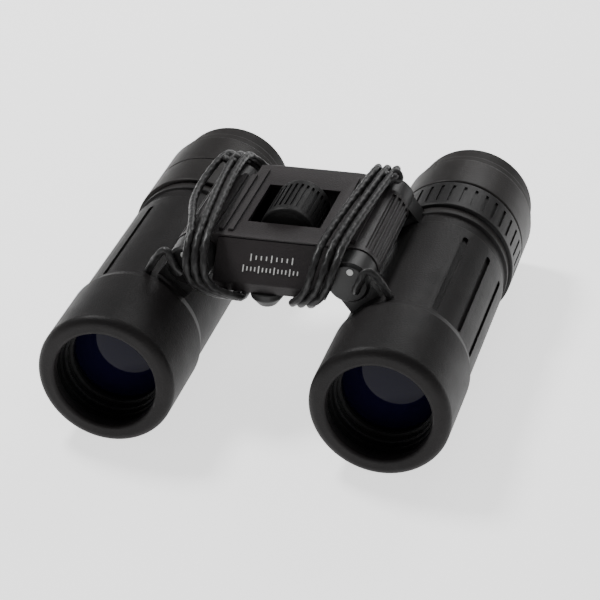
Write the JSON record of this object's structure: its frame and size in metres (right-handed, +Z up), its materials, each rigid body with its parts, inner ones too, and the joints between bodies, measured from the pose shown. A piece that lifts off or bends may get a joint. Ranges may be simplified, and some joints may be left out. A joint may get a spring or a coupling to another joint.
{
  "type": "folding binoculars",
  "caption": "Compact folding roof-prism binoculars with double hinge, central focus wheel, diopter ring and wound neck cord.",
  "frame": {"origin": "bottom centre of the whole object, on the surface the barrels rest on", "axes": "+Y from the objectives to the eyecups along the barrels, +X toward the right barrel seen from behind the eyepieces, +Z up"},
  "size_m": [0.0936, 0.101, 0.0419],
  "materials": {
    "rubber": "matte ribbed rubber armour with fine grain",
    "eyecup_rubber": "soft matte rubber",
    "bridge_plastic": "moulded plastic",
    "cover_plastic": "fine grained moulded plastic",
    "steel": "turned steel",
    "ring_plastic": "ribbed moulded plastic",
    "brass": "turned brass",
    "wheel_rubber": "ribbed rubber",
    "barrel_metal": "black painted aluminium",
    "lens_glass": "coated lens glass",
    "inner_metal": "blackened, matte",
    "housing_plastic": "fine grained moulded plastic",
    "cap_plastic": "smooth moulded plastic",
    "white_mark": "paint dot",
    "prism_glass": "optical glass",
    "cord": "braided cord"
  },
  "bodies": {
    "bridge": {"bridge_frame": "bridge_plastic", "top_cover": "cover_plastic", "front_plate": "cover_plastic", "screw_boss": "bridge_plastic", "cover_screws": "steel", "hinge_washers": "steel", "screw_bushes": "brass", "neck_cord": "cord"},
    "focus_wheel": {"focus_wheel_hub": "bridge_plastic", "focus_wheel_grip": "wheel_rubber", "focus_screw": "steel", "screw_clip": "steel"},
    "focus_carriage": {"focus_carriage": "brass", "left_push_rod": "steel", "right_push_rod": "steel"},
    "diopter_ring": {"diopter_ring": "ring_plastic"},
    "right_eyepiece": {"right_eyepiece_cell": "inner_metal", "right_field_lens": "lens_glass", "right_eye_lens": "lens_glass", "right_eye_lens_retainer": "inner_metal"},
    "left_barrel": {"left_barrel_tube": "barrel_metal", "left_rubber_armour": "rubber", "left_light_baffle": "inner_metal", "left_prism_holder": "inner_metal", "left_roof_prisms": "prism_glass", "left_eyepiece_housing": "housing_plastic", "left_eyecup": "eyecup_rubber", "left_hinge_pin": "steel", "left_hinge_caps": "cap_plastic", "left_index_dot": "white_mark", "left_strap_tie": "cord", "left_eyepiece_cell": "inner_metal", "left_field_lens": "lens_glass", "left_eye_lens": "lens_glass", "left_eye_lens_retainer": "inner_metal"},
    "left_objective": {"left_objective_cell": "inner_metal", "left_objective_lens": "lens_glass", "left_lens_retainer": "inner_metal"},
    "right_barrel": {"right_barrel_tube": "barrel_metal", "right_rubber_armour": "rubber", "right_light_baffle": "inner_metal", "right_prism_holder": "inner_metal", "right_roof_prisms": "prism_glass", "right_eyepiece_housing": "housing_plastic", "right_eyecup": "eyecup_rubber", "right_hinge_pin": "steel", "right_hinge_caps": "cap_plastic", "right_index_dot": "white_mark", "right_strap_tie": "cord"},
    "right_objective": {"right_objective_cell": "inner_metal", "right_objective_lens": "lens_glass", "right_lens_retainer": "inner_metal"}
  },
  "joints": [
    {"name": "left_fold", "type": "hinge", "parent": "bridge", "child": "left_barrel", "pos_m": [-0.0185, -0.0045, 0.0328], "axis": [0, -1, 0], "range_deg": [-22, 36]},
    {"name": "right_fold", "type": "hinge", "parent": "bridge", "child": "right_barrel", "pos_m": [0.0185, -0.0045, 0.0328], "axis": [0, 1, 0], "range_deg": [-22, 36]},
    {"name": "focus_turn", "type": "hinge", "parent": "bridge", "child": "focus_wheel", "pos_m": [0, -0.0025, 0.0346], "axis": [0, 1, 0], "range_deg": [-270, 270]},
    {"name": "carriage_slide", "type": "slide", "parent": "bridge", "child": "focus_carriage", "axis": [0, 1, 0], "range_m": [-0.0009, 0.0009]},
    {"name": "left_objective_slide", "type": "slide", "parent": "left_barrel", "child": "left_objective", "axis": [0, 1, 0], "range_m": [-0.0009, 0.0009]},
    {"name": "right_objective_slide", "type": "slide", "parent": "right_barrel", "child": "right_objective", "axis": [0, 1, 0], "range_m": [-0.0009, 0.0009]},
    {"name": "diopter_turn", "type": "hinge", "parent": "right_barrel", "child": "diopter_ring", "pos_m": [0.031, 0.0235, 0.0158], "axis": [0, 1, 0], "range_deg": [-50, 50]},
    {"name": "right_eyepiece_slide", "type": "slide", "parent": "right_barrel", "child": "right_eyepiece", "axis": [0, 1, 0], "range_m": [-0.0006, 0.0006]}
  ],
  "couplings": [
    {"joint": "focus_turn", "follows": "carriage_slide", "rad_per_m": 5236},
    {"joint": "left_objective_slide", "follows": "carriage_slide", "ratio": 1},
    {"joint": "right_objective_slide", "follows": "carriage_slide", "ratio": 1},
    {"joint": "right_eyepiece_slide", "follows": "diopter_turn", "m_per_rad": 0.00068754}
  ]
}
